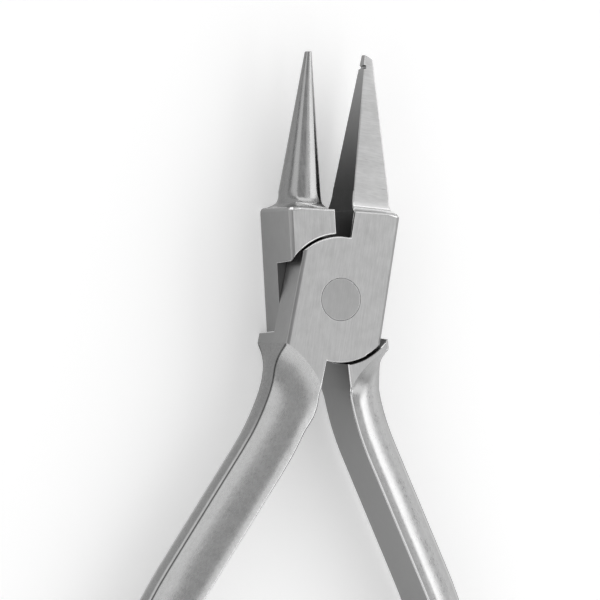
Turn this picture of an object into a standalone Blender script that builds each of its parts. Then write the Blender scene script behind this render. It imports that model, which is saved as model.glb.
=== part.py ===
"""Bird-beak orthodontic pliers: two forged halves lapped over each other on one flush rivet.

Metres, +Z up. The pliers lie on their back. The pivot axis is world Z through the origin, +Y runs
to the beak tips, and +X lies to the right seen from the front. Both halves share the same joint,
one of them turned over. Each has a beak of its own, and a handle bent and ground to its own angle
and width. A half is modelled closed, centred on the mid-plane of the joint, with its beak at +X
and its handle at -X, and is then swung half the opening angle about the pivot.
"""

import math

import bmesh
import bpy
from mathutils import Matrix, Vector

# Whole tool
OVERALL_LENGTH = 0.1250  # cone tip to handle end, closed
JOINT_DEPTH = 0.0100  # front face to back face
OPENING = math.radians(13.0)  # between the halves as the pliers lie

# Joint, seen from the front
BEAK_SIDE_WALL = 0.0066  # pivot axis to the wall under the beak
HANDLE_SIDE_WALL = 0.0065  # pivot axis to the wall above the handle
HANDLE_SIDE_FLARE = math.radians(3.4)
CHEEK_RADIUS = 0.0082
SHOULDER_GAP = 0.0003  # round cheek to the shoulder that it turns inside
SHOULDER_TAPER = 0.00015  # how much closer the shoulder comes where it meets the lap face
BEAK_FACE_GAP = 0.0001  # between the two beaks when closed
HANDLE_STEP_GAP = 0.0010  # between the two handle roots when closed
LAP_CLEARANCE = 0.0001  # between the two cheeks
BLOCK_TOP_INNER = 0.0117
BLOCK_TOP_OUTER = 0.0124
BLOCK_CORNER = 0.0005
EDGE_CHAMFER = 0.00045
SMALL_CHAMFER = 0.00015
HANDLE_EDGE = 0.00022

# Beaks
BEAK_REACH = 0.0326  # pivot axis to the tips
BEAK_ROOT = 0.0144  # pivot axis to where the straight taper ends
BEAK_RELIEF = 0.00008  # how far each beak's inner side falls back at the root
CONE_TIP = 0.00092
CONE_BASE = 0.0055
CONE_TIP_ROUNDING = 0.00014
PYRAMID_TIP_WIDTH = 0.00118
PYRAMID_BASE_WIDTH = 0.0052
PYRAMID_TIP_DEPTH = 0.0014
PYRAMID_BASE_DEPTH = 0.00695
PYRAMID_TIP_SLANT = math.radians(18.0)
PYRAMID_EDGE = 0.00013
GROOVE_FROM_TIP = 0.0016
GROOVE_WIDTH = 0.0005
GROOVE_DEPTH = 0.0003

# Rivet
RIVET_HEAD = 0.0055
RIVET_SHANK = 0.0040
RIVET_HEAD_RIM = 0.0004  # straight edge of the head, below the face
RIVET_CONE_DEPTH = 0.0008  # countersunk length under that rim
RIVET_CLEARANCE = 0.00005

# Handles, in plan: out from the joint, straight, back towards parallel, and a tail
HANDLE_WIDTH = 0.0056  # nominal, for the shares of a section
FRONT_HALF_WIDTH = 0.0056
REAR_HALF_WIDTH = 0.00525
HANDLE_END_WIDTH = 0.0053
HANDLE_NECK_DEPTH = 0.0089
HANDLE_END_DEPTH = 0.0097
HANDLE_ROOT = 0.0065  # pivot axis to where the handle leaves the joint
NECK_RUN = 0.0010  # straight run before the bend
BEND_RADIUS = 0.0352
FRONT_HALF_SPLAY = math.radians(24.6)
REAR_HALF_SPLAY = math.radians(21.1)
SPLAYED_RUN = 0.0185
RETURN_RADIUS = 0.062
TAIL_TURN_IN = math.radians(3.0)
END_ROUNDING = 0.0024
LAND_WIDTH = 0.0011  # nearly flat strip beside the inner wall
LAND_RISE = 0.00003
CROWN_RISE = 0.00042  # bulge of the rounded side above its chord
STRIP_DEPTH = 0.0038  # outer strip between the two creases
STRIP_BULGE = 0.00020

# Scoop between the flat joint face and the rounded handle
SCOOP_OUTER_START = 0.0003  # along the handle from its root
SCOOP_INNER_START = 0.0049
FRONT_HALF_SCOOP = 0.0040
REAR_HALF_SCOOP = 0.0026
SCOOP_BOW = 0.0006
FRONT_HALF_BULGE = 0.0005  # how far the shoulder stands out of the handle's outer side
REAR_HALF_BULGE = 0.0008
BULGE_LENGTH = 0.0062
FRONT_HALF_SWELL = 0.0005  # how far the inner side stands out before the handle bends away
REAR_HALF_SWELL = 0.0
SWELL_START = 0.0046
SWELL_END = 0.0112
SKEW_END = 0.0140  # where the handle's sections stand square to it again

# Facets
ARC_STEP = math.radians(3.0)
LAST_SIDE = 1.6  # last side of a cheek's arc, in wide chamfers
ROUND_SIDES = 48
RECESS_SIDES = 120
CONE_SIDES = 32
GROOVE_SIDES = 12
SCOOP_STEPS = 8
SKEW_STEPS = 7
RUN_STEPS = 28
END_STEPS = 6
LAND_STEPS = 2
CROWN_STEPS = 7
STRIP_STEPS = 4
CORNER_STEPS = 4
BLEND_STEPS = 6
OVERCUT = 0.001  # how far a cutter stands out of what it cuts
SEAT_INSET = 0.00002  # beak root inside the block's edges
SEAT_DEPTH = 0.0006  # beak root sunk into the block
SEAT_DRAFT = 0.3  # share by which the sunk end of a beak is drawn in
TIP_SHOULDER = 0.3  # share of the cone's tip rounding at its middle ring
SMOOTH_ANGLE = math.radians(30.0)  # flatter edges than this are shaded smooth
NEARLY_ZERO = 1e-9

SHOULDER_RADIUS = CHEEK_RADIUS + SHOULDER_GAP
HALF_DEPTH = JOINT_DEPTH / 2
BEAK_FACE = BEAK_FACE_GAP / 2
HANDLE_STEP = HANDLE_STEP_GAP / 2
HANDLE_END = OVERALL_LENGTH - BEAK_REACH


def clear_scene():
    for item in list(bpy.data.objects):
        bpy.data.objects.remove(item)


def steel(name, colour, roughness):
    """A plain metal material."""
    material = bpy.data.materials.new(name)
    material.use_nodes = True
    shader = material.node_tree.nodes["Principled BSDF"]
    shader.inputs["Base Color"].default_value = (*colour, 1.0)
    shader.inputs["Metallic"].default_value = 1.0
    shader.inputs["Roughness"].default_value = roughness
    return material


def linked_object(name, mesh):
    item = bpy.data.objects.new(name, mesh)
    bpy.context.scene.collection.objects.link(item)
    return item


def object_of(name, bm):
    """An object from a closed bmesh, its faces turned outwards."""
    bmesh.ops.recalc_face_normals(bm, faces=bm.faces)
    mesh = bpy.data.meshes.new(name)
    bm.to_mesh(mesh)
    bm.free()
    return linked_object(name, mesh)


def as_helper(item, parent):
    """Keeps a cutter or a joined-in piece out of the render, in its parent's frame."""
    item.hide_render = True
    item.display_type = "WIRE"
    item.parent = parent


def combine(item, other, operation):
    modifier = item.modifiers.new(other.name, "BOOLEAN")
    modifier.operation = operation
    modifier.object = other
    as_helper(other, item)


def arc(radius, start, end):
    """Points on a circle about the pivot, both ends included. The last side is long enough for
    the wide chamfer of the wall that follows it."""
    last = math.copysign(LAST_SIDE * EDGE_CHAMFER / radius, end - start)
    steps = max(1, round(abs(end - last - start) / ARC_STEP))
    angles = [start + (end - last - start) * i / steps for i in range(steps + 1)] + [end]
    return [Vector((radius * math.cos(a), radius * math.sin(a))) for a in angles]


def rounded_corner(corner, before, after, radius):
    """Points of the arc that rounds a corner between two straight sides."""
    to_before = (before - corner).normalized()
    to_after = (after - corner).normalized()
    half = to_before.angle(to_after) / 2
    centre = corner + (to_before + to_after).normalized() * (radius / math.sin(half))
    first = corner + to_before * (radius / math.tan(half)) - centre
    last = corner + to_after * (radius / math.tan(half)) - centre
    sweep = first.angle_signed(last)
    turns = [Matrix.Rotation(-sweep * i / CORNER_STEPS, 2) for i in range(CORNER_STEPS + 1)]
    return [centre + turn @ first for turn in turns]


def handle_side_corner_angle():
    """Where the round cheek runs into the handle-side wall."""
    wall = Vector((-math.cos(HANDLE_SIDE_FLARE), math.sin(HANDLE_SIDE_FLARE)))
    offset = HANDLE_SIDE_WALL * math.cos(HANDLE_SIDE_FLARE)
    return math.atan2(wall.y, wall.x) - math.acos(offset / CHEEK_RADIUS)


def block_top(x):
    """Height of the block that carries the beak: it rises outwards."""
    share = (x - BEAK_FACE) / (BEAK_SIDE_WALL - BEAK_FACE)
    return BLOCK_TOP_INNER + (BLOCK_TOP_OUTER - BLOCK_TOP_INNER) * share


def eased(start, end, share):
    return start + (end - start) * (1 - math.cos(math.pi * share)) / 2


class Handle:
    """One handle: a centre line with the sections along it, worked out with outwards positive."""

    def __init__(self, splay, width, scoop, bulge, swell):
        self.root_width = width
        self.scoop = scoop
        self.bulge = bulge
        self.swell = swell
        reach = HANDLE_ROOT + NECK_RUN + BEND_RADIUS * math.sin(splay) + SPLAYED_RUN * math.cos(splay)
        reach += RETURN_RADIUS * (math.sin(splay) + math.sin(TAIL_TURN_IN))
        tail = (HANDLE_END - reach) / math.cos(TAIL_TURN_IN)
        self.runs = [
            (NECK_RUN, 0.0),
            (BEND_RADIUS * splay, splay),
            (SPLAYED_RUN, 0.0),
            (RETURN_RADIUS * (splay + TAIL_TURN_IN), -splay - TAIL_TURN_IN),
            (tail, 0.0),
        ]
        self.length = sum(length for length, turn in self.runs)

    def line(self, distance):
        """Point and outward normal at a distance along the centre line."""
        point = Vector((HANDLE_STEP + self.root_width / 2, -HANDLE_ROOT))
        heading = 0.0
        left = distance
        for length, turn in self.runs:
            step = min(left, length)
            angle = turn * step / length
            if turn:
                radius = length / turn
                point.x += radius * (math.cos(heading) - math.cos(heading + angle))
                point.y -= radius * (math.sin(heading + angle) - math.sin(heading))
            else:
                point += Vector((math.sin(heading), -math.cos(heading))) * step
            heading += angle
            left -= step
        return point, Vector((math.cos(heading), math.sin(heading)))

    def width(self, distance):
        width = eased(self.root_width, HANDLE_END_WIDTH, min(1.0, distance / self.length))
        left = self.length - distance
        if left < END_ROUNDING:
            width *= math.sqrt(1 - ((END_ROUNDING - left) / END_ROUNDING) ** 2)
        return width

    def half_depth(self, distance):
        depth = eased(HANDLE_NECK_DEPTH, HANDLE_END_DEPTH, min(1.0, distance / self.length)) / 2
        left = self.length - distance
        if left < END_ROUNDING:
            depth -= END_ROUNDING - math.sqrt(END_ROUNDING**2 - (END_ROUNDING - left) ** 2)
        return depth

    def inner_point(self, distance):
        point, normal = self.line(distance)
        swell = 0.0
        if SWELL_START < distance < SWELL_END:
            share = (distance - SWELL_START) / (SWELL_END - SWELL_START)
            swell = self.swell * math.sin(math.pi * share) ** 2
        return point - normal * (self.width(distance) / 2 + swell)

    def outer_point(self, distance):
        point, normal = self.line(distance)
        bulge = 0.0
        if distance < SCOOP_OUTER_START + BULGE_LENGTH:
            share = (distance - SCOOP_OUTER_START) / BULGE_LENGTH
            bulge = self.bulge * (1 - share**2) ** 1.5
        return point + normal * (self.width(distance) / 2 + bulge)

    def stations(self):
        """(inner distance, outer distance, scoop share) of each section, from root to end."""
        ratio = (SKEW_END - SCOOP_INNER_START) / (SKEW_END - SCOOP_OUTER_START)
        outer = [SCOOP_OUTER_START + self.scoop * i / SCOOP_STEPS for i in range(SCOOP_STEPS)]
        skew_start = SCOOP_OUTER_START + self.scoop
        skewed = SKEW_END - skew_start
        outer += [skew_start + skewed * i / SKEW_STEPS for i in range(SKEW_STEPS)]
        stations = []
        for distance in outer:
            share = min(1.0, (distance - SCOOP_OUTER_START) / self.scoop)
            stations.append((SKEW_END - (SKEW_END - distance) * ratio, distance, share))
        run = self.length - END_ROUNDING - SKEW_END
        for i in range(RUN_STEPS):
            distance = SKEW_END + run * i / RUN_STEPS
            stations.append((distance, distance, 1.0))
        for i in range(END_STEPS):
            turn = math.pi / 2 * i / END_STEPS
            distance = self.length - END_ROUNDING * (1 - math.sin(turn))
            stations.append((distance, distance, 1.0))
        return stations

    def section(self, inner_at, outer_at, scoop):
        """The points of one section in the half's own frame, where the handle lies at -X."""
        inner = self.inner_point(inner_at)
        outer = self.outer_point(outer_at)
        across = outer - inner
        forward = Vector((-across.y, across.x)).normalized()
        points = []
        for share, z in handle_profile(self.width(outer_at), self.half_depth(inner_at), scoop):
            bow = SCOOP_BOW * (1 - scoop) * 4 * max(0.0, share * (1 - share))
            place = inner + across * share + forward * bow
            points.append(Vector((-place.x, place.y, z)))
        return points


def handle_profile(width, half_depth, scoop):
    """One section as (share of width, height) points: over the front, down the outer strip and
    back over the rear. The scoop share carries it from the joint's flat faces to the crown."""
    drop = 1 - (1 - scoop) ** 2
    land = LAND_WIDTH / HANDLE_WIDTH
    crease = min(STRIP_DEPTH / 2, half_depth / 2)
    front = []
    for i in range(LAND_STEPS):
        t = i / LAND_STEPS
        front.append((land * t, half_depth + LAND_RISE * 4 * t * (1 - t)))
    for i in range(CROWN_STEPS + 1):
        t = i / CROWN_STEPS
        rise = CROWN_RISE * (width / HANDLE_WIDTH) * 4 * t * (1 - t)
        front.append((land + (1 - land) * t, half_depth + (crease - half_depth) * t + rise))
    front = [(share, HALF_DEPTH + (z - HALF_DEPTH) * drop) for share, z in front]
    edge = front[-1][1]
    strip = []
    for i in range(1, STRIP_STEPS):
        t = i / STRIP_STEPS
        bulge = STRIP_BULGE * 4 * t * (1 - t) * drop
        strip.append((1.0 + bulge / HANDLE_WIDTH, edge * (1 - 2 * t)))
    rear = [(share, -z) for share, z in reversed(front)]
    return front + strip + rear


def joint_outline():
    """The joint in plan as (point, chamfer of the side that starts there), from the handle's
    inner edge round the cheek and the beak block to the handle's outer edge."""
    beak_wall_turn = math.acos(BEAK_SIDE_WALL / CHEEK_RADIUS)
    step_turn = math.asin(HANDLE_STEP / CHEEK_RADIUS)
    face_turn = math.asin(BEAK_FACE / CHEEK_RADIUS)
    lower_arc = arc(CHEEK_RADIUS, -math.pi / 2 - step_turn, -beak_wall_turn)
    upper_arc = arc(CHEEK_RADIUS, math.pi / 2 - face_turn, handle_side_corner_angle())
    inner_top = Vector((BEAK_FACE, BLOCK_TOP_INNER))
    outer_top = Vector((BEAK_SIDE_WALL, BLOCK_TOP_OUTER))
    corner = rounded_corner(outer_top, lower_arc[-1], inner_top, BLOCK_CORNER)
    sides = [(point, SMALL_CHAMFER) for point in lower_arc[:-1]]
    sides += [(lower_arc[-1], EDGE_CHAMFER)]
    sides += [(point, EDGE_CHAMFER) for point in corner[:-1]]
    sides += [(corner[-1], SMALL_CHAMFER), (inner_top, SMALL_CHAMFER)]
    sides += [(point, SMALL_CHAMFER) for point in upper_arc[:-1]]
    sides += [(upper_arc[-1], EDGE_CHAMFER)]
    return sides


def half_blank(name, handle):
    """Joint and handle of one half as a single skin, before the recess is milled."""
    bm = bmesh.new()
    chamfers = bm.edges.layers.float.new("bevel_weight_edge")
    outline = joint_outline()
    front = [bm.verts.new((p.x, p.y, HALF_DEPTH)) for p, chamfer in outline]
    rear = [bm.verts.new((p.x, p.y, -HALF_DEPTH)) for p, chamfer in outline]
    rings = [[bm.verts.new(p) for p in handle.section(*s)] for s in handle.stations()]

    first = rings[0]
    across = len(first)
    top_points = LAND_STEPS + CROWN_STEPS + 1
    bm.faces.new(front + list(reversed(first[:top_points])))
    bm.faces.new(rear + first[across - top_points :])
    for i in range(len(outline) - 1):
        bm.faces.new((front[i], front[i + 1], rear[i + 1], rear[i]))
    bm.faces.new((first[0], front[0], rear[0], first[-1]))
    bm.faces.new([rear[-1], front[-1]] + first[top_points - 1 : across - top_points + 1])
    for ring, following in zip(rings, rings[1:]):
        for i in range(across):
            after = (i + 1) % across
            bm.faces.new((ring[i], ring[after], following[after], following[i]))
    bm.faces.new(rings[-1])

    def chamfer_side(a, b, width):
        bm.edges.get((a, b))[chamfers] = width / EDGE_CHAMFER

    for i in range(len(outline) - 1):
        chamfer_side(front[i], front[i + 1], outline[i][1])
        chamfer_side(rear[i], rear[i + 1], outline[i][1])
    chamfer_side(front[-1], first[top_points - 1], EDGE_CHAMFER)
    chamfer_side(rear[-1], first[across - top_points], EDGE_CHAMFER)
    chamfer_side(front[0], first[0], HANDLE_EDGE)
    chamfer_side(rear[0], first[-1], HANDLE_EDGE)
    for ring, following in zip(rings[: 1 - END_STEPS], rings[1:]):
        chamfer_side(ring[0], following[0], HANDLE_EDGE)
        chamfer_side(ring[-1], following[-1], HANDLE_EDGE)

    blank = object_of(name, bm)
    bevel = blank.modifiers.new("edges", "BEVEL")
    bevel.limit_method = "WEIGHT"
    bevel.width = EDGE_CHAMFER
    bevel.segments = 1
    bevel.use_clamp_overlap = False
    return blank


def skin(bm, rings):
    """Faces between rings of equal length, and over both ends."""
    count = len(rings[0])
    for ring, following in zip(rings, rings[1:]):
        for i in range(count):
            after = (i + 1) % count
            bm.faces.new((ring[i], ring[after], following[after], following[i]))
    bm.faces.new(rings[0])
    bm.faces.new(rings[-1])


def turned(name, profile, sides):
    """A closed solid of revolution about Z from (radius, height) points, bottom to top."""
    bm = bmesh.new()
    angles = [2 * math.pi * i / sides for i in range(sides)]
    rings = []
    for radius, z in profile:
        rings.append([bm.verts.new((radius * math.cos(a), radius * math.sin(a), z)) for a in angles])
    skin(bm, rings)
    return object_of(name, bm)


def recess_profile():
    """Half section of the round recess that the other half's cheek turns in, from beyond the
    rear face, with its chamfered edge, up to the lap face."""
    return [
        (SHOULDER_RADIUS + SMALL_CHAMFER + OVERCUT, -HALF_DEPTH - OVERCUT),
        (SHOULDER_RADIUS, -HALF_DEPTH + SMALL_CHAMFER),
        (SHOULDER_RADIUS - SHOULDER_TAPER, LAP_CLEARANCE / 2),
    ]


def rivet_profile(growth, ends):
    """Half section of the rivet: shank and two countersunk heads, grown by a clearance."""
    head = RIVET_HEAD / 2 + growth
    shank = RIVET_SHANK / 2 + growth
    rim = HALF_DEPTH - RIVET_HEAD_RIM
    neck = rim - RIVET_CONE_DEPTH
    half = [(shank, neck), (head, rim), (head, HALF_DEPTH + ends)]
    return [(radius, -z) for radius, z in reversed(half)] + half


def footprint(inset):
    """The block's top edge, where a beak grows out of it, as (x, z) corners."""
    inner = BEAK_FACE + inset
    outer = BEAK_SIDE_WALL - BLOCK_CORNER / 2 - inset
    deep = HALF_DEPTH - inset
    small = SMALL_CHAMFER
    large = EDGE_CHAMFER
    front = [(inner, deep - small), (inner + small, deep), (outer - large, deep), (outer, deep - large)]
    return front + [(x, -z) for x, z in reversed(front)]


def on_footprint(start, direction, inset):
    """Where a ray from a beak's root centre meets the footprint's edge."""
    corners = [Vector(c) for c in footprint(inset)]
    for a, b in zip(corners, corners[1:] + corners[:1]):
        side = b - a
        across = direction.x * side.y - direction.y * side.x
        if abs(across) < NEARLY_ZERO:
            continue
        gap = a - start
        along = (gap.x * side.y - gap.y * side.x) / across
        share = (gap.x * direction.y - gap.y * direction.x) / across
        if along > 0 and -NEARLY_ZERO <= share <= 1 + NEARLY_ZERO:
            return start + direction * along
    return start


def blended_rings(root_ring, edge_ring, seat_ring):
    """Rings from the beak's root down a quarter-round fillet to the block's edge and into it."""
    rings = []
    for i in range(1, BLEND_STEPS + 1):
        turn = math.pi / 2 * i / BLEND_STEPS
        out = 1 - math.cos(turn)
        down = math.sin(turn)
        ring = []
        for root, edge in zip(root_ring, edge_ring):
            x = root.x + (edge.x - root.x) * out
            z = root.z + (edge.z - root.z) * out
            ring.append(Vector((x, root.y + (edge.y - root.y) * down, z)))
        rings.append(ring)
    return rings + [seat_ring]


def lowered(points):
    """The sunk ring inside the block: points drawn towards their middle and let down."""
    middle = sum(points, Vector()) / len(points)
    return [p + (middle - p) * SEAT_DRAFT - Vector((0.0, SEAT_DEPTH, 0.0)) for p in points]


def cone_beak(name):
    """Round beak: its inner side lies straight on the closing plane, so its axis leans."""
    length = BEAK_REACH - BEAK_ROOT
    lean = ((CONE_BASE - CONE_TIP) / 2 + BEAK_RELIEF) / length
    root_centre = BEAK_FACE + BEAK_RELIEF + CONE_BASE / 2
    corners = [Vector(c) for c in footprint(SEAT_INSET)]
    start = Vector((root_centre, 0.0))
    angles = [2 * math.pi * i / CONE_SIDES for i in range(CONE_SIDES)]
    for corner in corners:
        wanted = math.atan2(corner.y - start.y, corner.x - start.x) % (2 * math.pi)
        nearest = min(range(CONE_SIDES), key=lambda i: abs(angles[i] - wanted))
        angles[nearest] = wanted

    def ring(y, radius):
        centre = root_centre - (y - BEAK_ROOT) * lean
        return [Vector((centre + radius * math.cos(a), y, radius * math.sin(a))) for a in angles]

    tip = CONE_TIP / 2
    rounding = CONE_TIP_ROUNDING
    rings = [
        ring(BEAK_REACH, tip - rounding),
        ring(BEAK_REACH - TIP_SHOULDER * rounding, tip - TIP_SHOULDER * rounding),
        ring(BEAK_REACH - rounding, tip),
        ring(BEAK_ROOT, CONE_BASE / 2),
    ]
    edge = []
    for a in angles:
        place = on_footprint(start, Vector((math.cos(a), math.sin(a))), SEAT_INSET)
        edge.append(Vector((place.x, block_top(place.x), place.y)))
    rings += blended_rings(rings[-1], edge, lowered(edge))
    bm = bmesh.new()
    skin(bm, [[bm.verts.new(p) for p in points] for points in rings])
    return object_of(name, bm)


def pyramid_ring(y, inner, width, depth, slant):
    """Rectangle with chamfered corners, its inner side this far from the closing plane."""
    e = PYRAMID_EDGE
    outer = inner + width
    deep = depth / 2
    front = [(inner, deep - e), (inner + e, deep), (outer - e, deep), (outer, deep - e)]
    corners = front + [(x, -z) for x, z in reversed(front)]
    return [Vector((x, y - (x - inner) * math.tan(slant), z)) for x, z in corners]


def pyramid_beak(name):
    """Square beak with a flat inner face."""
    relieved = BEAK_FACE + BEAK_RELIEF
    tip = pyramid_ring(BEAK_REACH, BEAK_FACE, PYRAMID_TIP_WIDTH, PYRAMID_TIP_DEPTH, PYRAMID_TIP_SLANT)
    root = pyramid_ring(BEAK_ROOT, relieved, PYRAMID_BASE_WIDTH, PYRAMID_BASE_DEPTH, 0.0)
    edge = [Vector((x, block_top(x), z)) for x, z in footprint(SEAT_INSET)]
    rings = [tip, root] + blended_rings(root, edge, lowered(edge))
    bm = bmesh.new()
    skin(bm, [[bm.verts.new(p) for p in points] for points in rings])
    return object_of(name, bm)


def groove_cutter(name):
    """The wire groove across the square beak's inner face."""
    bm = bmesh.new()
    bmesh.ops.create_cone(
        bm,
        cap_ends=True,
        segments=GROOVE_SIDES,
        radius1=GROOVE_WIDTH / 2,
        radius2=GROOVE_WIDTH / 2,
        depth=PYRAMID_BASE_DEPTH,
    )
    place = Vector((BEAK_FACE + GROOVE_DEPTH - GROOVE_WIDTH / 2, BEAK_REACH - GROOVE_FROM_TIP, 0.0))
    bmesh.ops.translate(bm, verts=bm.verts, vec=place)
    return object_of(name, bm)


def make_half(name, beak, handle, turned_over, material):
    half = half_blank(name, handle)
    combine(half, beak, "UNION")
    combine(half, turned(name + "_recess", recess_profile(), RECESS_SIDES), "DIFFERENCE")
    bore = turned(name + "_bore", rivet_profile(RIVET_CLEARANCE, OVERCUT), ROUND_SIDES)
    combine(half, bore, "DIFFERENCE")
    swing = OPENING / 2 if turned_over else -OPENING / 2
    half.location = (0.0, 0.0, HALF_DEPTH)
    half.rotation_euler = (0.0, math.pi if turned_over else 0.0, swing)
    half.data.materials.append(material)
    half.data.shade_smooth()
    half.data.set_sharp_from_angle(angle=SMOOTH_ANGLE)
    return half


def make_rivet(material):
    rivet = turned("pivot_rivet", rivet_profile(0.0, 0.0), ROUND_SIDES)
    rivet.location = (0.0, 0.0, HALF_DEPTH)
    rivet.rotation_euler = (0.0, 0.0, -OPENING / 2)
    rivet.data.materials.append(material)
    rivet.data.shade_smooth()
    rivet.data.set_sharp_from_angle(angle=SMOOTH_ANGLE)
    return rivet


def main():
    clear_scene()
    satin = steel("satin_stainless", (0.50, 0.50, 0.49), 0.34)
    ground = steel("ground_stainless", (0.45, 0.45, 0.44), 0.30)
    front_handle = Handle(
        FRONT_HALF_SPLAY, FRONT_HALF_WIDTH, FRONT_HALF_SCOOP, FRONT_HALF_BULGE, FRONT_HALF_SWELL
    )
    rear_handle = Handle(
        REAR_HALF_SPLAY, REAR_HALF_WIDTH, REAR_HALF_SCOOP, REAR_HALF_BULGE, REAR_HALF_SWELL
    )
    square = pyramid_beak("square_beak")
    round_one = cone_beak("round_beak")
    front_half = make_half("front_half", square, front_handle, False, satin)
    combine(front_half, groove_cutter("wire_groove"), "DIFFERENCE")
    make_half("rear_half", round_one, rear_handle, True, satin)
    make_rivet(ground)


main()
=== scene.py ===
# %% [markdown]
# # Orthodontic pliers
# The pliers are two forged halves of stainless steel, lapped over each other and held by one flush
# rivet. The imported model already has every real shape, so this script gives it its finish. It loads
# the model as a fixed frame, makes a refined copy of each half and of the rivet with softly rounded
# edges, and paints each surface with the finish that it was given in the workshop: ground, brushed,
# blasted, turned or polished. Some of its greys are painted light and shade: lighter tops, darker
# sides, dark creases and hollows, and a dark throat and groove.

import math

import bmesh
import bpy
import numpy as np
from mathutils import Matrix, Vector


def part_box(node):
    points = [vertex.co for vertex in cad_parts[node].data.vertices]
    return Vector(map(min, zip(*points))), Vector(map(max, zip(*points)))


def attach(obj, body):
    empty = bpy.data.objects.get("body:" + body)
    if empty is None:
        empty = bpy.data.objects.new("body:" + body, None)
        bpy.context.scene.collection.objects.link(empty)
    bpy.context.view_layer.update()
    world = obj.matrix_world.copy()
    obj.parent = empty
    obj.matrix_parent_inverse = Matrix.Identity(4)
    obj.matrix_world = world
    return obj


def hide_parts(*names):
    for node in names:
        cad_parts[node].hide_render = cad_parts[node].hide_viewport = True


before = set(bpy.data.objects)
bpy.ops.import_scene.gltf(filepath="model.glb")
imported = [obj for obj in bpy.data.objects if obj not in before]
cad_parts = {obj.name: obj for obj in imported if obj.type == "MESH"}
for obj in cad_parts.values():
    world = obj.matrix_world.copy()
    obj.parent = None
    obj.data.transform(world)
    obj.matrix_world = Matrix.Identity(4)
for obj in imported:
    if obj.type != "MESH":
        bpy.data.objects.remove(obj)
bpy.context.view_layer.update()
print("nodes:", sorted(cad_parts))

# %% [markdown]
# ## Where things are
# The pivot axis is world Z through the origin. Seen from the front, each half is turned away from
# the closed position by half of the opening, one to the left and one to the right. A half's own
# frame has its beak along +Y and its handle at +X, so it is the world turned back by that angle,
# and mirrored for the half whose handle lies on the left. These few sizes, in metres, are enough
# to tell the joint from the beak and the handle.

# %% Sizes shared by the pieces
HALF_OPENING = math.radians(6.5)  # half of the 13 degrees that the photograph shows
JOINT_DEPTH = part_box("pivot_rivet")[1].z
MIDDLE = JOINT_DEPTH / 2
BEAK_START = 0.0128  # above the block that carries the beak
HANDLE_START = -0.0066  # below the joint, where the handle leaves it
HANDLE_END = -0.0885  # beyond it, the handle is rounded off
SHOULDER_RADIUS = 0.0085  # round wall that the other half's cheek turns in
print("joint depth in mm:", round(JOINT_DEPTH * 1000, 3))

# %% [markdown]
# ## Small helpers
# Three helpers are used all through the script. The first turns a colour written as on a screen
# into the linear light that Blender's shaders work in. The second adds a shader node with its
# settings, values and links in one call. The third makes one object the only selected one, because
# Blender's operators act on everything that is selected, and loading leaves all the nodes selected.

# %% Colour, node and selection helpers
def linear(hex_colour):
    """A screen colour such as C4C3BF as linear red, green, blue and alpha, by the sRGB curve."""
    channels = [int(hex_colour[i : i + 2], 16) / 255 for i in (0, 2, 4)]
    return [c / 12.92 if c <= 0.04045 else ((c + 0.055) / 1.055) ** 2.4 for c in channels] + [1.0]


def add_node(tree, kind, settings=None, **sockets):
    """Adds a node. A socket is named with _ for each space, or as _ and its number, and takes a
    value or another node's output."""
    node = tree.nodes.new(kind)
    for name, value in (settings or {}).items():
        setattr(node, name, value)
    for name, value in sockets.items():
        socket = node.inputs[int(name[1:]) if name[1:].isdigit() else name.replace("_", " ")]
        if isinstance(value, bpy.types.NodeSocket):
            tree.links.new(value, socket)
        else:
            socket.default_value = value
    return node


def select_only(piece):
    bpy.ops.object.select_all(action="DESELECT")
    piece.select_set(True)
    bpy.context.view_layer.objects.active = piece


print("steel grey in linear light:", [round(c, 3) for c in linear("C4C3BF")])

# %% [markdown]
# ## How the grain lies
# Grinding and brushing leave fine scratches that follow the tool: straight along the beak and the
# joint, and bent with the handle. A pattern on plain coordinates would run straight across a bent
# handle. So each copy gets an attribute, a coordinate stored at its corners, that is the place in
# the half's own frame with the handle straightened out: across from the closing plane, along from
# the pivot, and height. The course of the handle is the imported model's: a short neck, a bend
# outwards, a straight run, and a wide bend back.

# %% The halves and their handles' centre lines
NECK_RUN = 0.0010
BEND_RADIUS = 0.0352
SPLAYED_RUN = 0.0185
RETURN_RADIUS = 0.062
TAIL_TURN_IN = math.radians(3.0)
LINE_LENGTH = 0.095
LINE_STEP = 0.0005
# swing: how far the half is turned from closed; side: where its handle lies in the world; centre:
# distance across from the closing plane to the handle's middle; splay: the angle of its straight
# run; blend: how far the joint face runs into the hollow of the handle, inside and outside, where
# it isn't a plain edge
FRONT_HALF = {
    "swing": -HALF_OPENING, "side": -1, "centre": 0.0033, "splay": math.radians(24.6),
    "blend": (0.0030, 0.0060),
}
REAR_HALF = {
    "swing": HALF_OPENING, "side": 1, "centre": 0.0031, "splay": math.radians(21.1),
    "blend": None,
}


def centre_line(half):
    """Distances, points and headings along a handle's centre line, outwards positive."""
    splay = half["splay"]
    lengths = [NECK_RUN, BEND_RADIUS * splay, SPLAYED_RUN, RETURN_RADIUS * (splay + TAIL_TURN_IN)]
    changes = np.concatenate([[0.0], np.cumsum(lengths)])
    distance = np.arange(0.0, LINE_LENGTH, LINE_STEP)
    heading = np.interp(distance, changes, [0.0, 0.0, splay, splay, -TAIL_TURN_IN])
    x = half["centre"] + np.cumsum(np.sin(heading)) * LINE_STEP
    y = HANDLE_START - np.cumsum(np.cos(heading)) * LINE_STEP
    return distance, np.stack([x, y], axis=1), heading


for half in (FRONT_HALF, REAR_HALF):
    end = centre_line(half)[1][-1]
    print("centre line ends in mm at", (end * 1000).round(1))

# %% [markdown]
# A corner on the handle takes the nearest point of the centre line. Its distance along that line is
# its place along, and how far it lies beside the line is its place across.

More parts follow.
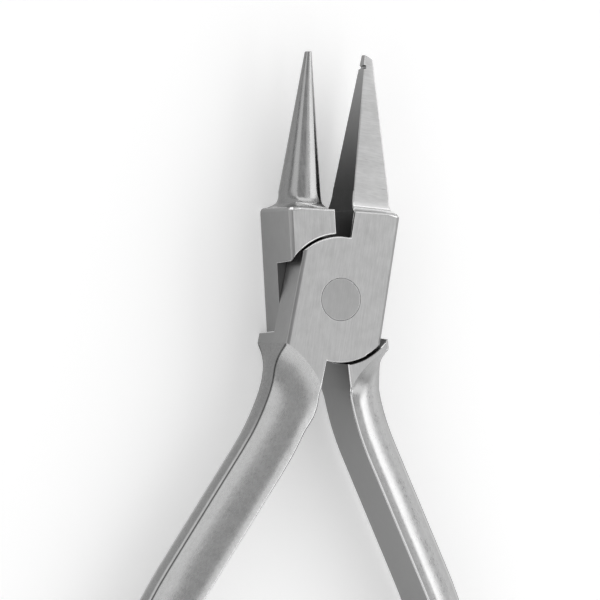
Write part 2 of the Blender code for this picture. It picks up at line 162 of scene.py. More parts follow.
# %% Straightened coordinates for the grain
def own_places(piece, half):
    """The piece's corners in the half's own frame."""
    places = np.empty(len(piece.data.vertices) * 3, np.float32)
    piece.data.vertices.foreach_get("co", places)
    turn = np.array(Matrix.Rotation(-half["swing"], 3, "Z"))
    return (places.reshape(-1, 3).astype(float) @ turn.T) * (half["side"], 1, 1)


def add_grain(piece, half):
    """Stores the straightened coordinates in millimetres as the attribute grain."""
    own = own_places(piece, half)
    distance, line, heading = centre_line(half)
    on_handle = own[:, 1] < HANDLE_START
    flat = own[on_handle, :2]
    nearest = np.argmin(((flat[:, None, :] - line[None, :, :]) ** 2).sum(axis=2), axis=1)
    offset = flat - line[nearest]
    normal = np.stack([np.cos(heading[nearest]), np.sin(heading[nearest])], axis=1)
    ahead = np.stack([np.sin(heading[nearest]), -np.cos(heading[nearest])], axis=1)
    own[on_handle, 0] = half["centre"] + (offset * normal).sum(axis=1)
    own[on_handle, 1] = HANDLE_START - distance[nearest] - (offset * ahead).sum(axis=1)
    grain = piece.data.attributes.new("grain", "FLOAT_VECTOR", "POINT")
    grain.data.foreach_set("vector", (own * 1000).astype(np.float32).ravel())
    print(piece.name, "grain on", on_handle.sum(), "corners of the handle")


# %% [markdown]
# ## Steel
# The whole tool is martensitic stainless steel, a neutral grey metal. What tells its surfaces apart
# is how each was finished. A scratch pattern is a noise stretched along the grain, and it changes
# three things at once: the height, through a bump, the roughness, and a little of the colour. A
# second, round noise lays the cloudy patches over it that a hand-held wheel leaves. A photograph of
# brushed metal could do this too, but it would have to be unwrapped onto each piece, and would show
# its seams. Real scratches repeat about every 0.03 mm, which is too fine to show at this distance,
# so they are drawn four to ten times as coarse.

# %% A steel with a scratch pattern
NOISE = {"Detail": 3.0, "Roughness": 0.6}  # finer layers of the noise, and how much they count
NOISE_SPAN = {"From_Min": 0.3, "From_Max": 0.7}  # nearly all of the noise lies between these
PATCH_SIZE = 1.6  # mm from one cloudy patch to the next
PATCH_SHARE = 0.4  # how much the patches count, beside the scratches


def scratched_steel(name, colour, roughness, across, along, relief, contrast):
    """Stainless steel with scratches that repeat after these millimetres across and along the
    half. The colour is a screen colour, or a function that adds nodes for one. The roughness runs
    between two values with the pattern. The relief is the bump's height in millimetres, and the
    contrast a share of the colour."""
    material = bpy.data.materials.new(name)
    material.use_nodes = True
    tree = material.node_tree
    shader = tree.nodes["Principled BSDF"]
    shader.inputs["Metallic"].default_value = 1.0
    place = add_node(tree, "ShaderNodeAttribute", {"attribute_name": "grain"}).outputs["Vector"]
    stretched = add_node(
        tree, "ShaderNodeMapping", Vector=place, Scale=(1 / across, 1 / along, 1 / across),
    ).outputs[0]
    scratches = add_node(
        tree, "ShaderNodeTexNoise", Vector=stretched, Scale=1.0, **NOISE,
    ).outputs["Fac"]
    patches = add_node(
        tree, "ShaderNodeTexNoise", Vector=place, Scale=1 / PATCH_SIZE, **NOISE,
    ).outputs["Fac"]
    mottle = add_node(tree, "ShaderNodeMix", _0=PATCH_SHARE, _2=scratches, _3=patches).outputs[0]
    shade = add_node(
        tree, "ShaderNodeMapRange", Value=mottle, **NOISE_SPAN,
        To_Min=1 - contrast, To_Max=1 + contrast,
    ).outputs[0]
    base = linear(colour)[:3] if isinstance(colour, str) else colour(tree, place)
    tint = add_node(tree, "ShaderNodeVectorMath", {"operation": "SCALE"}, _0=base, Scale=shade)
    tree.links.new(tint.outputs[0], shader.inputs["Base Color"])
    rough = add_node(
        tree, "ShaderNodeMapRange", Value=mottle, **NOISE_SPAN,
        To_Min=roughness[0], To_Max=roughness[1],
    ).outputs[0]
    tree.links.new(rough, shader.inputs["Roughness"])
    bump = add_node(
        tree, "ShaderNodeBump", Height=scratches, Distance=relief / 1000, Strength=1.0,
    )
    tree.links.new(bump.outputs[0], shader.inputs["Normal"])
    print("steel:", name)
    return material


# %% [markdown]
# ## The joint and the edges
# The flat joint faces are ground on a wheel, and so is the rivet's head together with them. The
# flanks are satin, and the handles' inner walls stay as forged. Both are a little rougher, and their
# grey is painted darker as painted shade, as is the grey of the wide outer chamfers. The lap, where
# one half turns on the other, is turned. Every worked edge gets a last touch of the polishing wheel,
# and its polished bevel, in a grey painted lighter as a painted highlight, draws a thin bright line
# round each surface.

# %% Steels of the joint
# Straight scratches along the half and an even, soft sheen
ground = scratched_steel(
    "ground_stainless_face", "C2C2C2", roughness=(0.29, 0.39),
    across=0.14, along=2.2, relief=0.004, contrast=0.14,
)
# The same scratches on the wide outer chamfers, in a grey painted darker as shade
chamfer = scratched_steel(
    "ground_stainless_chamfer_painted_shade", "ACACAC", roughness=(0.29, 0.39),
    across=0.14, along=2.2, relief=0.003, contrast=0.08,
)
# Long soft strokes that keep the highlight wide, on a grey painted darker as shade
flank = scratched_steel(
    "satin_stainless_flank_painted_shade", "979797", roughness=(0.33, 0.43),
    across=0.16, along=3.0, relief=0.005, contrast=0.10,
)
# The skin that the forging die leaves, only just smoothed, in a grey painted darker as shade
inner_wall = scratched_steel(
    "forged_stainless_inner_wall_painted_shade", "949494", roughness=(0.33, 0.43),
    across=0.20, along=2.0, relief=0.005, contrast=0.08,
)
# Fine turning marks in the shade of the other half
lap = scratched_steel(
    "turned_stainless_lap", "8F8F8F", roughness=(0.27, 0.37),
    across=0.20, along=2.0, relief=0.004, contrast=0.10,
)
# Nearly a mirror, too narrow to show more than a bright line, in a grey painted lighter as a
# highlight
polished = scratched_steel(
    "polished_stainless_edge_painted_highlight", "E6E6E6", roughness=(0.16, 0.24),
    across=0.20, along=2.0, relief=0.002, contrast=0.04,
)
# The softer steel of the rivet takes a duller grey from the same wheel
rivet_steel = scratched_steel(
    "ground_stainless_rivet", "B2B2B2", roughness=(0.29, 0.39),
    across=0.12, along=2.0, relief=0.004, contrast=0.10,
)

# %% [markdown]
# ## Where painted light and shade change along one surface
# The top of a round surface is painted lighter and its steep sides darker, as painted light and
# shade. How steep a place is comes from the piece's own normal, so it stays with the piece when it
# moves. The two creases along a handle are painted dark as shade, from an attribute that is 1 on a
# crease and fades to 0 in the middle of the side. The same attribute places painted highlights on
# the strips beside the creases. Another one is 1 where the handle meets the flat joint face, in a
# hollow that is painted darker as shade on the rear half and lighter on the front. Faces of their
# own material would end each of these shades in a hard line, so they all lie within one material,
# and a soft ramp turns one into the next.

# %% Shades that change along a surface
def turning(tree, value, span, first, second):
    """A shade that turns softly into another while the value goes from one end of the span to the
    other. Each shade is a screen colour or a node's output."""
    first, second = (linear(c) if isinstance(c, str) else c for c in (first, second))
    factor = add_node(
        tree, "ShaderNodeMapRange", {"interpolation_type": "SMOOTHSTEP"},
        Value=value, From_Min=span[0], From_Max=span[1],
    ).outputs[0]
    return add_node(
        tree, "ShaderNodeMix", {"data_type": "RGBA"}, _0=factor, _6=first, _7=second,
    ).outputs[2]


def height_of_normal(tree):
    """1 where the surface is level and 0 where it is upright."""
    normal = add_node(tree, "ShaderNodeTexCoord").outputs["Normal"]
    upright = add_node(tree, "ShaderNodeSeparateXYZ", Vector=normal).outputs["Z"]
    return add_node(tree, "ShaderNodeMath", {"operation": "ABSOLUTE"}, _0=upright).outputs[0]


# Heights of the normal between which the side's painted shade turns into the top's lighter grey
FRONT_SLOPE, REAR_SLOPE, BEAK_SLOPE = (0.52, 0.80), (0.68, 0.90), (0.52, 0.80)
for slope in (FRONT_SLOPE, REAR_SLOPE, BEAK_SLOPE):
    print("the top's shade ends at a slant of", round(math.degrees(math.acos(slope[1]))), "degrees")

# %% [markdown]
# ## The handles
# The handles are blasted, which gives them a fine matt grain, and a light brushing along their
# rounded backs draws the grain out a little. Their backs are painted lighter as a painted highlight
# and their sides darker as painted shade. The grain is drawn a few times as coarse as real blasting.
# The photograph shows the two handles from different sides, so each has its own shades. They could
# be painted by hand on an image, but made from the attributes they fit the mesh without one.

# %% Steels of the handles
# Painted highlights on the side beside each crease
SIDE_PAINTED_HIGHLIGHT = "C4C4C4"
SIDE_HIGHLIGHT_PART = (0.1, 0.5)  # values of crease over which the side turns bright with a painted highlight
SIDE_HIGHLIGHT_STRETCH = (-14.0, -24.0)  # mm along the handle over which the painted highlight begins
# Painted shade along each crease
CREASE_PAINTED_SHADE = "444444"
CREASE_SHADE_PART = (0.70, 1.0)  # values of crease over which the side turns dark with painted shade
HOLLOW_PART = (0.10, 0.45)  # values of hollow over which its grey begins, lighter on the front half, painted shade on the rear


def handle_shade(top, side, slope, land, land_edge, hollow):
    """A shade function with painted light and shade: a lighter top and a darker side by the slope, a
    dark crease, painted highlights beside it, and the land and the hollow in greys of their own. The
    land is the strip of the top beside the inner wall, and it begins softly between two distances in
    millimetres across."""

    def shade(tree, place):
        parts = add_node(tree, "ShaderNodeSeparateXYZ", Vector=place)
        across, along = parts.outputs["X"], parts.outputs["Y"]
        nearness = add_node(tree, "ShaderNodeAttribute", {"attribute_name": "hollow"}).outputs["Fac"]
        crease = add_node(tree, "ShaderNodeAttribute", {"attribute_name": "crease"}).outputs["Fac"]
        # The land: a painted highlight on the front half, painted shade on the rear
        upper = turning(tree, across, land_edge, top, land)
        # The hollow: lighter on the front half, painted shade on the rear
        upper = turning(tree, nearness, HOLLOW_PART, upper, hollow)
        # Painted highlights on the side beside each crease, fading in along the handle
        side_highlight = turning(tree, along, SIDE_HIGHLIGHT_STRETCH, side, SIDE_PAINTED_HIGHLIGHT)
        side_highlight = turning(tree, crease, SIDE_HIGHLIGHT_PART, side, side_highlight)
        # Painted light and shade by slope: the top lighter, the side darker
        whole = turning(tree, height_of_normal(tree), slope, side_highlight, upper)
        # Painted shade along each crease
        return turning(tree, crease, CREASE_SHADE_PART, whole, CREASE_PAINTED_SHADE)

    return shade


front_shade = handle_shade(
    top="C6C6C6", side="8E8E8E", slope=FRONT_SLOPE,
    land="DCDCDC", land_edge=(2.6, 0.7), hollow="D0D0D0",
)
rear_shade = handle_shade(
    top="CECECE", side="A6A6A6", slope=REAR_SLOPE,
    land="B0B0B0", land_edge=(1.9, 1.5), hollow="A4A4A4",
)
# Short specks along the handle, and a broad, quiet highlight on its back
front_handle = scratched_steel(
    "blasted_stainless_front_handle_painted_light", front_shade, roughness=(0.24, 0.32),
    across=0.20, along=0.5, relief=0.004, contrast=0.14,
)
rear_handle = scratched_steel(
    "blasted_stainless_rear_handle_painted_light", rear_shade, roughness=(0.24, 0.36),
    across=0.16, along=0.5, relief=0.005, contrast=0.14,
)

# %% [markdown]
# ## The beaks
# One beak is round and is brushed along its length, and its sides are painted darker as shade. The
# other is square and is ground across. The wire groove near its tip is painted dark as shade, and so
# is the throat between the beaks, darkest at its bottom. The streak of light on the round beak could
# come from the shader's anisotropy, but drawn scratches spread the light in the same way, and they
# can be seen themselves.

# %% Steels of the beaks
THROAT_REACH = (12.0, 33.0)  # mm along the beak over which the painted shade gives way to grey steel


def round_painted_shade(tree, place):
    """Sides painted darker as shade and the top lighter. The place isn't used, but each shade
    function takes one.
    """
    return turning(tree, height_of_normal(tree), BEAK_SLOPE, "888888", "B0B0B0")


def throat_painted_shade(tree, place):
    """Painted shade: black at the bottom of the throat, and grey steel at the beak's tip."""
    along = add_node(tree, "ShaderNodeSeparateXYZ", Vector=place).outputs["Y"]
    return turning(tree, along, THROAT_REACH, "1C1C1C", "8E8E8E")


# Long strokes that draw the highlight out into a streak from root to tip
round_beak = scratched_steel(
    "brushed_stainless_round_beak_painted_shade", round_painted_shade, roughness=(0.14, 0.40),
    across=0.32, along=12.0, relief=0.005, contrast=0.12,
)
# Scratches from side to side, which spread the light along the beak
square_beak = scratched_steel(
    "ground_stainless_square_beak", "CCCCCC", roughness=(0.27, 0.37),
    across=1.8, along=0.16, relief=0.005, contrast=0.14,
)
# Painted shade, dark and dull, so that the gap between the beaks reads as deep
throat = scratched_steel(
    "painted_shade_stainless_throat", throat_painted_shade, roughness=(0.32, 0.42),
    across=0.14, along=2.5, relief=0.004, contrast=0.08,
)
# Painted shade: one dark line across the bright beak, in the groove
groove = scratched_steel(
    "cut_stainless_wire_groove_painted_shade", "303030", roughness=(0.32, 0.42),
    across=0.14, along=2.5, relief=0.004, contrast=0.08,
)
print("finishes made:", len([m for m in bpy.data.materials if "_stainless_" in m.name]))

# %% [markdown]
# ## A refined copy
# Each piece could be modelled anew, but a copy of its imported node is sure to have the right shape.
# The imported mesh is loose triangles, so the copy's corners are merged first and flat triangles are
# joined into whole faces. The copy rides on the same body as its node and takes its place.

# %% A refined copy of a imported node
SAME_CORNER = 0.000001
SAME_PLANE = math.radians(0.3)


def refined_copy(node_name, piece_name, body):
    piece = bpy.data.objects.new(piece_name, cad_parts[node_name].data.copy())
    bpy.context.scene.collection.objects.link(piece)
    select_only(piece)
    bpy.ops.mesh.customdata_custom_splitnormals_clear()
    bpy.ops.object.mode_set(mode="EDIT")
    bpy.ops.mesh.select_all(action="SELECT")
    bpy.ops.mesh.remove_doubles(threshold=SAME_CORNER)
    bpy.ops.mesh.dissolve_limited(angle_limit=SAME_PLANE)
    bpy.ops.object.mode_set(mode="OBJECT")
    piece.data.materials.clear()
    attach(piece, body)
    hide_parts(node_name)
    print(piece_name, len(piece.data.polygons), "faces")
    return piece


front_half = refined_copy("front_half", "front_half_steel", "front")
rear_half = refined_copy("rear_half", "rear_half_steel", "rear")

# %% [markdown]
# ## Which finish a face gets
# The real surfaces were worked one by one, with the half held in the same way each time. So the
# finish follows from where a face is in the half's own frame and which way it faces. Picking the
# faces by number would be shorter, but the numbers change whenever the model does. The height of a
# normal is 1 on a level face and 0 on a wall.

# %% The finish of each face
WALL = 0.3  # a face whose normal is lower than this is a wall
LEVEL = 0.9  # and one whose normal is higher than this is level
QUITE_LEVEL = 0.98  # on the joint's flat faces, which have no slope at all
FACING_IN = 0.8  # share of a normal that points across, on a face towards the other half
GROOVE_WALL = 0.3  # share of a normal that points along, on the walls of the wire groove
GROOVE_PLACE = (0.0306, 0.0314)  # along the beak
THROAT_START = 0.0076  # along the beak, where the wall towards the other beak, painted dark as shade, begins
NEAR_LAP = 0.0003  # height from the middle within which a level face belongs to the lap
FLUSH = 0.00002  # height within which a level face is the joint's top or bottom
SIDEWAYS = 1.4  # a joint chamfer that faces this much more sideways than along is a wide outer one
TURNED_WALL = (SHOULDER_RADIUS * 0.9, SHOULDER_RADIUS * 1.02)  # least and greatest radius
GROUND_SLOT, CHAMFER_SLOT, HANDLE_SLOT = 0, 1, 2  # places of these three in the list of finishes


def finish_of(place, normal, handle, beak):
    height = abs(normal.z)
    if beak == square_beak:
        # The groove and the throat take steels painted dark as shade
        if GROOVE_PLACE[0] < place.y < GROOVE_PLACE[1] and abs(normal.y) > GROOVE_WALL:
            return groove
        if place.y > THROAT_START and normal.x > FACING_IN:
            return throat
    if place.y > BEAK_START:
        return beak
    if abs(place.z - MIDDLE) < NEAR_LAP and height > LEVEL:
        return lap
    if abs(place.z - MIDDLE) > MIDDLE - FLUSH and height > QUITE_LEVEL:
        return ground
    if place.y < HANDLE_START:
        if normal.x > -FACING_IN * math.hypot(normal.x, normal.y):
            return handle
        if height < WALL:
            return inner_wall
        return polished if height < LEVEL and place.y > HANDLE_END else handle
    if height > WALL:
        return polished if abs(normal.x) < SIDEWAYS * abs(normal.y) else chamfer
    if TURNED_WALL[0] < math.hypot(place.x, place.y) < TURNED_WALL[1]:
        return lap
    return flank


def finish_faces(piece, half, handle, beak):
    finishes = [ground, chamfer, handle, flank, inner_wall, beak, throat, groove, lap, polished]
    for finish in finishes:
        piece.data.materials.append(finish)
    turn = Matrix.Rotation(-half["swing"], 3, "Z")
    for face in piece.data.polygons:
        place = turn @ Vector(face.center)
        normal = turn @ Vector(face.normal)
        place.x *= half["side"]
        normal.x *= half["side"]
        face.material_index = finishes.index(finish_of(place, normal, handle, beak))
    print(piece.name, "has", len({face.material_index for face in piece.data.polygons}), "finishes")


finish_faces(front_half, FRONT_HALF, front_handle, square_beak)
finish_faces(rear_half, REAR_HALF, rear_handle, round_beak)

# %% [markdown]
# ## Which edges are rounded
# A narrow bevel rounds the worked edges, as the polishing wheel does on the real forging. Its width
# on each edge is a weight from 0 to 1. Only the pointed horn, where the round shoulder runs out into
# the handle's outer side, is rounded to the full width. The creases along the handles and the edge
# between the flat joint face and the handle aren't worked, so they get no bevel. The throat's
# upright edges stay sharp, because no wheel gets in there. A bevel by angle alone would round all of
# these too, and that is why the weights are set here.

# %% The bevel's weights
HORN_ROUNDING = 0.00022  # the bevel's width where its weight is 1
EDGE_ROUNDING = 0.00006
SHARP_EDGE = math.radians(28)  # least angle between the faces of a true edge
TALL_EDGE = 0.001  # an edge that climbs more than this is an upright one
THROAT_SIDE = -0.001  # across from the closing plane, beyond which an edge is in the throat
HORN = ((0.0060, 0.0085), (-0.0063, -0.0035))  # box across and along the half that holds the horn


def weigh_edges(piece, half, unworked):
    """Sets each edge's share of the bevel. Edges between faces in the unworked slots get none."""
    own = own_places(piece, half)
    edges = bmesh.new()
    edges.from_mesh(piece.data)
    weights = edges.edges.layers.float.new("bevel_weight_edge")
    for edge in edges.edges:
        if edge.calc_face_angle(0.0) < SHARP_EDGE:
            continue
        ends = [own[v.index] for v in edge.verts]
        upright = abs(ends[0][2] - ends[1][2]) > TALL_EDGE
        in_throat = ends[0][1] > THROAT_START and max(ends[0][0], ends[1][0]) > THROAT_SIDE
        if upright and in_throat:
            continue
        at_horn = all(
            low < end[axis] < high for end in ends for axis, (low, high) in enumerate(HORN)
        )
        if at_horn and upright:
            edge[weights] = 1.0
        elif not all(face.material_index in unworked for face in edge.link_faces):
            edge[weights] = EDGE_ROUNDING / HORN_ROUNDING
    print(piece.name, "edges to round:", sum(edge[weights] > 0 for edge in edges.edges))
    edges.to_mesh(piece.data)
    edges.free()


weigh_edges(front_half, FRONT_HALF, (GROUND_SLOT, HANDLE_SLOT))
weigh_edges(rear_half, REAR_HALF, (GROUND_SLOT, HANDLE_SLOT))

# %% [markdown]
# ## Rounding them
# Subdivision would soften the edges too, but it would pull the flat faces out of shape. So a bevel
# modifier is applied, and its faces take the polished steel. Where three bevels meet in a narrow
# corner they can fold over each other. The corners of such a fold are drawn together, what is left
# loose is deleted, and the small gap is filled. No corner may end up above or below the packed
# joint. Beside the joint's wide outer chamfers, the bevel is ground like them and not polished.

# %% Rounded edges
BEVEL_STEPS = 2
FOLD = 0.00002  # corners this close together belong to a fold
GAP_SIDES = 4  # most sides of a gap that a fold leaves
OUTER_WALL = 0.005  # distance across from the pivot beyond which a joint wall is an outer one
ALONG_LIMIT = 0.35  # share of a normal that points along, on a bevel beside a wide chamfer


def round_edges(piece):
    piece.data.materials.append(polished)
    select_only(piece)
    bevel = piece.modifiers.new("rounded edges", "BEVEL")
    bevel.width = HORN_ROUNDING
    bevel.segments = BEVEL_STEPS
    bevel.limit_method = "WEIGHT"
    bevel.use_clamp_overlap = False
    bevel.material = len(piece.data.materials) - 1
    bpy.ops.object.modifier_apply(modifier=bevel.name)
    bpy.ops.object.mode_set(mode="EDIT")
    bpy.ops.mesh.select_all(action="SELECT")
    bpy.ops.mesh.dissolve_degenerate(threshold=FOLD)
    bpy.ops.mesh.delete_loose()
    bpy.ops.mesh.select_all(action="SELECT")
    bpy.ops.mesh.fill_holes(sides=GAP_SIDES)
    bpy.ops.object.mode_set(mode="OBJECT")
    for corner in piece.data.vertices:
        corner.co.z = min(max(corner.co.z, 0.0), JOINT_DEPTH)
    print(piece.name, len(piece.data.polygons), "faces with rounded edges")


def plain_wide_chamfers(piece, half):
    bevel_slot = len(piece.data.materials) - 1
    turn = Matrix.Rotation(-half["swing"], 3, "Z")
    for face in piece.data.polygons:
        place = turn @ Vector(face.center)
        normal = turn @ Vector(face.normal)
        outer = abs(place.x) > OUTER_WALL and HANDLE_START < place.y < BEAK_START
        if outer and abs(normal.y) < ALONG_LIMIT and face.material_index == bevel_slot:
            face.material_index = CHAMFER_SLOT


for piece, half in ((front_half, FRONT_HALF), (rear_half, REAR_HALF)):
    round_edges(piece)
    plain_wide_chamfers(piece, half)

# %% [markdown]
# ## Smooth faces and sharp creases
# A forged and polished surface has no facets, so all faces are shaded smooth, and only the true
# edges stay sharp. Smoothing by angle would be one call, but where the joint blends into the front
# handle a true edge has to look smooth as well. Corners on the creases along a handle's outer side
# get 1 in the attribute crease. A weighted normal modifier then keeps the large flat faces from
# looking bulged at their edges.

# %% Smooth shading
def smooth_and_mark(piece, half, blended):
    """Edges between faces in the blended slots are smooth at any angle."""
    own = own_places(piece, half)
    edges = bmesh.new()
    edges.from_mesh(piece.data)
    creased = set()
    for face in edges.faces:
        face.smooth = True
    for edge in edges.edges:
        sharp = edge.calc_face_angle(0.0) > SHARP_EDGE
        slots = [face.material_index for face in edge.link_faces]
        ends = [own[v.index] for v in edge.verts]
        outside = all(end[0] > half["centre"] and HANDLE_END < end[1] < HANDLE_START for end in ends)
        lengthwise = abs(ends[0][1] - ends[1][1]) > abs(ends[0][0] - ends[1][0])
        is_crease = sharp and outside and lengthwise and set(slots) == {HANDLE_SLOT}
        if is_crease:
            creased.update(v.index for v in edge.verts)
        edge.smooth = not (is_crease or (sharp and not all(i in blended for i in slots)))
    edges.to_mesh(piece.data)
    edges.free()
    crease = piece.data.attributes.new("crease", "FLOAT", "POINT")
    crease.data.foreach_set("value", [float(i in creased) for i in range(len(piece.data.vertices))])
    select_only(piece)
    weighted = piece.modifiers.new("flat faces stay flat", "WEIGHTED_NORMAL")
    weighted.keep_sharp = True
    bpy.ops.object.modifier_apply(modifier=weighted.name)
    print(piece.name, "corners on creases:", len(creased))


smooth_and_mark(front_half, FRONT_HALF, (GROUND_SLOT, HANDLE_SLOT))
smooth_and_mark(rear_half, REAR_HALF, (HANDLE_SLOT,))

# %% [markdown]
# ## The flat joint face and the hollow under it
# The joint's flat faces have to mirror like one plane, so their corners get normals that point
# straight up or down. Under them, each handle begins with a hollow. On the front half it was blended
# by hand, so the handle's normals turn little by little towards the flat face's, and no line shows.
# More faces could round the hollow as well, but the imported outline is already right, and only the
# shading has to change. On the rear half the flat face ends in a plain edge. On both, how near a
# corner of the handle lies to that end is stored in the attribute hollow.

# %% How near the handle is to the flat face
FLAT = 0.999  # height of the normal of a flat joint face
HOLLOW_LENGTH = 0.0030  # along the handle, from the joint face to the crown
LINE_PARTS = 9  # points along each stretch of the line between joint and handle
HANDLE_INNER, HANDLE_ACROSS = 0.0005, 0.0056  # closing plane to the handle, and its width there


def gap_to_joint(own, of_corner, on_joint, on_handle):
    """How far each of the handle's corners lies from the line where the flat joint face ends."""
    shared = set(of_corner[on_joint]) & set(of_corner[on_handle])
    line = own[sorted(shared), :2]
    line = line[np.argsort(line[:, 0])]
    steps = np.linspace(0, 1, LINE_PARTS)[:, None, None]
    line = (line[None, :-1] * (1 - steps) + line[None, 1:] * steps).reshape(-1, 2)
    flat = own[of_corner[on_handle], :2]
    return np.sqrt(((flat[:, None] - line[None]) ** 2).sum(axis=2).min(axis=1))


def blended_normals(normals, gap, across, facing, blend):
    """Normals turned towards the flat joint face close to it, over a length that changes across."""
    outwards = np.clip((across - HANDLE_INNER) / HANDLE_ACROSS, 0, 1)
    apart = np.clip(gap / (blend[0] + (blend[1] - blend[0]) * outwards), 0, 1)[:, None]
    apart = apart * apart * (3 - 2 * apart)
    turned = normals * apart + np.array([0, 0, facing]) * (1 - apart)
    return turned / np.linalg.norm(turned, axis=1)[:, None]


def set_normals(piece, half):
    mesh = piece.data
    own = own_places(piece, half)
    normals = np.array([corner.vector for corner in mesh.corner_normals])
    of_corner = np.array([corner.vertex_index for corner in mesh.loops])
    faces = np.repeat(np.arange(len(mesh.polygons)), [face.loop_total for face in mesh.polygons])
    slots = np.array([face.material_index for face in mesh.polygons])[faces]
    upright = np.array([face.normal.z for face in mesh.polygons])[faces]
    flat_joint = (slots == GROUND_SLOT) & (abs(upright) > FLAT)
    nearness = np.zeros(len(of_corner))
    for corner in np.flatnonzero(flat_joint):
        normals[corner] = (0, 0, np.sign(upright[corner]))
        mesh.edges[mesh.loops[int(corner)].edge_index].use_edge_sharp = True
    for facing in (1, -1):
        on_joint = flat_joint & (upright * facing > 0)
        on_handle = (slots == HANDLE_SLOT) & (upright * facing > WALL)
        gap = gap_to_joint(own, of_corner, on_joint, on_handle)
        nearness[on_handle] = 1 - np.clip(gap / HOLLOW_LENGTH, 0, 1)
        if half["blend"]:
            across = own[of_corner[on_handle], 0]
            normals[on_handle] = blended_normals(
                normals[on_handle], gap, across, facing, half["blend"],
            )
    hollow = mesh.attributes.new("hollow", "FLOAT", "CORNER")
    hollow.data.foreach_set("value", nearness.astype(np.float32))
    mesh.normals_split_custom_set(normals.tolist())
    print(piece.name, "face corners in the hollow:", np.count_nonzero(nearness))


# %% [markdown]
# ## Completing the halves
# With these normals and the grain, both halves are complete.

# %% The last steps on both halves
for piece, half in ((front_half, FRONT_HALF), (rear_half, REAR_HALF)):
    set_normals(piece, half)
    add_grain(piece, half)
    print(piece.name, "is complete with", len(piece.data.polygons), "faces")

# %% [markdown]
# ## The rivet
# The rivet's head is ground flush with the joint, together with the face round it, and only a thin
# dark ring shows where one piece ends and the other begins. The ring could be painted on, but the
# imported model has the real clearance, and its shadow is truer. The rivet turns with the front half.

# %% Rivet
RIVET = {**FRONT_HALF, "side": 1}
rivet = refined_copy("pivot_rivet", "pivot_rivet_steel", "front")
rivet.data.materials.append(rivet_steel)
weigh_edges(rivet, RIVET, ())
round_edges(rivet)
smooth_and_mark(rivet, RIVET, ())
add_grain(rivet, RIVET)
print("rivet's width in mm:", round(rivet.dimensions.x * 1000, 2))

# %% [markdown]
# ## The table
# The tool lies on a plain white table. Brighter lamps would whiten the table, but they would bleach
# the steel with it. So a little light of its own, which only the camera and the mirroring steel
# see, lifts the table to the photograph's white and leaves the tool's soft shadow on it.

# %% Floor
TABLE_SIZE = 4.0
TABLE_DROP = 0.0001  # below the tool, so that no two faces lie in one plane
TABLE_GLOW = 0.28


def white_floor():
    material = bpy.data.materials.new("white_table")
    material.use_nodes = True
    tree = material.node_tree
    shader = tree.nodes["Principled BSDF"]
    shader.inputs["Base Color"].default_value = linear("F2F2F2")
    shader.inputs["Roughness"].default_value = 0.8
    shader.inputs["Specular IOR Level"].default_value = 0.0
    path = add_node(tree, "ShaderNodeLightPath")
    seen = path.outputs["Is Camera Ray"]
    for ray in ("Is Glossy Ray", "Is Transmission Ray"):
        seen = add_node(
            tree, "ShaderNodeMath", {"operation": "MAXIMUM"}, _0=seen, _1=path.outputs[ray],
        ).outputs[0]
    lifted = add_node(
        tree, "ShaderNodeMath", {"operation": "MULTIPLY"}, _0=seen, _1=TABLE_GLOW,
    ).outputs[0]
    shader.inputs["Emission Color"].default_value = linear("FFFFFF")
    tree.links.new(lifted, shader.inputs["Emission Strength"])
    return material


bpy.ops.object.select_all(action="DESELECT")
bpy.ops.mesh.primitive_plane_add(size=TABLE_SIZE, location=(0, 0, -TABLE_DROP))
floor = bpy.context.object
floor.name = "floor"
floor.data.materials.append(white_floor())
print("floor:", floor.name, [round(v, 2) for v in floor.dimensions])

# %% [markdown]
# ## Light
# Bright steel shows what stands round it, so the light is what gives it its bands. A photographer
# lays such a tool on white and hangs soft boxes at its sides. The strip on the right draws the
# bright line along the right handle and the beaks. The weaker boxes fill the other slopes, and the
# two at the ends lighten the ends of the blocks. An even white from all round stands for the room.
# An image of a studio could give all this at once, but lamps can be moved one by one until each
# band lies where the photograph has it.

# %% Lights
AIM = Vector((0.0, -0.01, 0.005))
ROOM_LIGHT = 0.42


def softbox(name, right, up, distance, width, length, brightness):
    """A soft box seen from the tool, this many degrees right of straight above and up the tool.
    Its brightness is the light that it sends, where 1 is white."""
    light = bpy.data.lights.new(name, "AREA")
    light.shape = "RECTANGLE"
    light.size = width
    light.size_y = length
    light.energy = brightness * math.pi * width * length
    lamp = bpy.data.objects.new(name, light)
    bpy.context.scene.collection.objects.link(lamp)
    turn = Matrix.Rotation(math.radians(right), 3, "Y") @ Matrix.Rotation(-math.radians(up), 3, "X")
    direction = turn @ Vector((0, 0, 1))
    lamp.location = AIM + direction * distance
    lamp.rotation_euler = turn.to_euler()


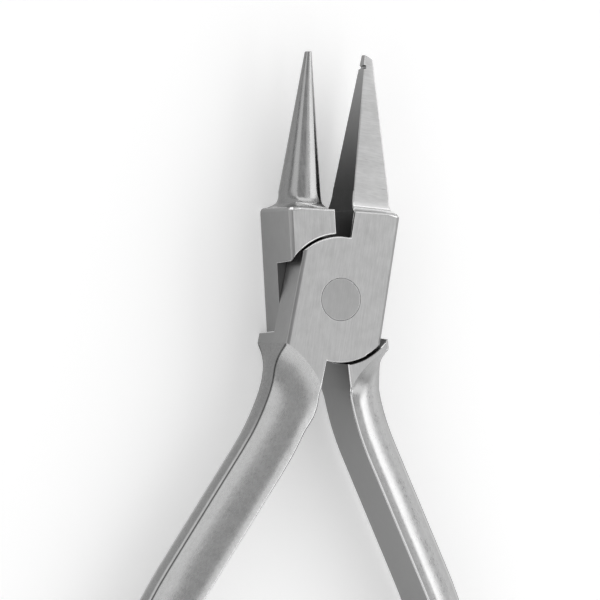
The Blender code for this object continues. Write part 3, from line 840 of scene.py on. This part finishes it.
softbox("right_softbox", right=24, up=0, distance=0.8, width=0.36, length=1.6, brightness=0.45)
softbox("right_strip", right=57, up=0, distance=0.8, width=0.42, length=1.6, brightness=1.4)
softbox("left_softbox", right=-57, up=0, distance=0.8, width=0.42, length=1.6, brightness=0.55)
softbox("top_softbox", right=0, up=66, distance=0.9, width=1.2, length=0.4, brightness=1.0)
softbox("low_softbox", right=0, up=-76, distance=0.9, width=1.2, length=0.4, brightness=2.0)

world = bpy.data.worlds.new("studio")
bpy.context.scene.world = world
world.use_nodes = True
background = world.node_tree.nodes["Background"]
background.inputs["Color"].default_value = linear("FFFFFF")
background.inputs["Strength"].default_value = ROOM_LIGHT

# %% [markdown]
# ## Camera
# The photographer stood half a metre from the tool and a little to its left, so its left flanks
# show, and the tool leans slightly in the picture. A camera placed by eye never quite fits. So the
# lens follows from the scale of the picture at the joint's front face, and the camera is moved
# sideways until the rivet lies on the pixel where the photograph has it.

# %% Camera
CAMERA_DISTANCE = 0.5
CAMERA_TURN = math.radians(23.5)  # round to the left of straight above
PICTURE_TILT = math.radians(3.05)
PIXELS_PER_MM = 7.7
PICTURE_SIZE = 600  # pixels
SENSOR = 36.0  # mm
PIVOT_PIXEL = (341.0, 299.4)  # from the picture's left and top

across = Vector((math.cos(PICTURE_TILT), math.sin(PICTURE_TILT), 0))
upwards = Vector((-math.sin(PICTURE_TILT), math.cos(PICTURE_TILT), 0))
facing = Vector((0, 0, 1))
right = across * math.cos(CAMERA_TURN) + facing * math.sin(CAMERA_TURN)
back = facing * math.cos(CAMERA_TURN) - across * math.sin(CAMERA_TURN)
centre = Vector((0, 0, JOINT_DEPTH))
shift_right = (PICTURE_SIZE / 2 - PIVOT_PIXEL[0]) / PIXELS_PER_MM / 1000
shift_up = (PIVOT_PIXEL[1] - PICTURE_SIZE / 2) / PIXELS_PER_MM / 1000
camera_data = bpy.data.cameras.new("camera")
camera_data.sensor_width = SENSOR
camera_data.lens = PIXELS_PER_MM * CAMERA_DISTANCE * 1000 / PICTURE_SIZE * SENSOR
camera = bpy.data.objects.new("camera", camera_data)
bpy.context.scene.collection.objects.link(camera)
camera.matrix_world = Matrix.Translation(
    centre + back * CAMERA_DISTANCE + right * shift_right + upwards * shift_up
) @ Matrix([right, upwards, back]).transposed().to_4x4()
bpy.context.scene.camera = camera
bpy.context.scene.view_settings.view_transform = "Standard"
print("lens in mm:", round(camera_data.lens, 1))
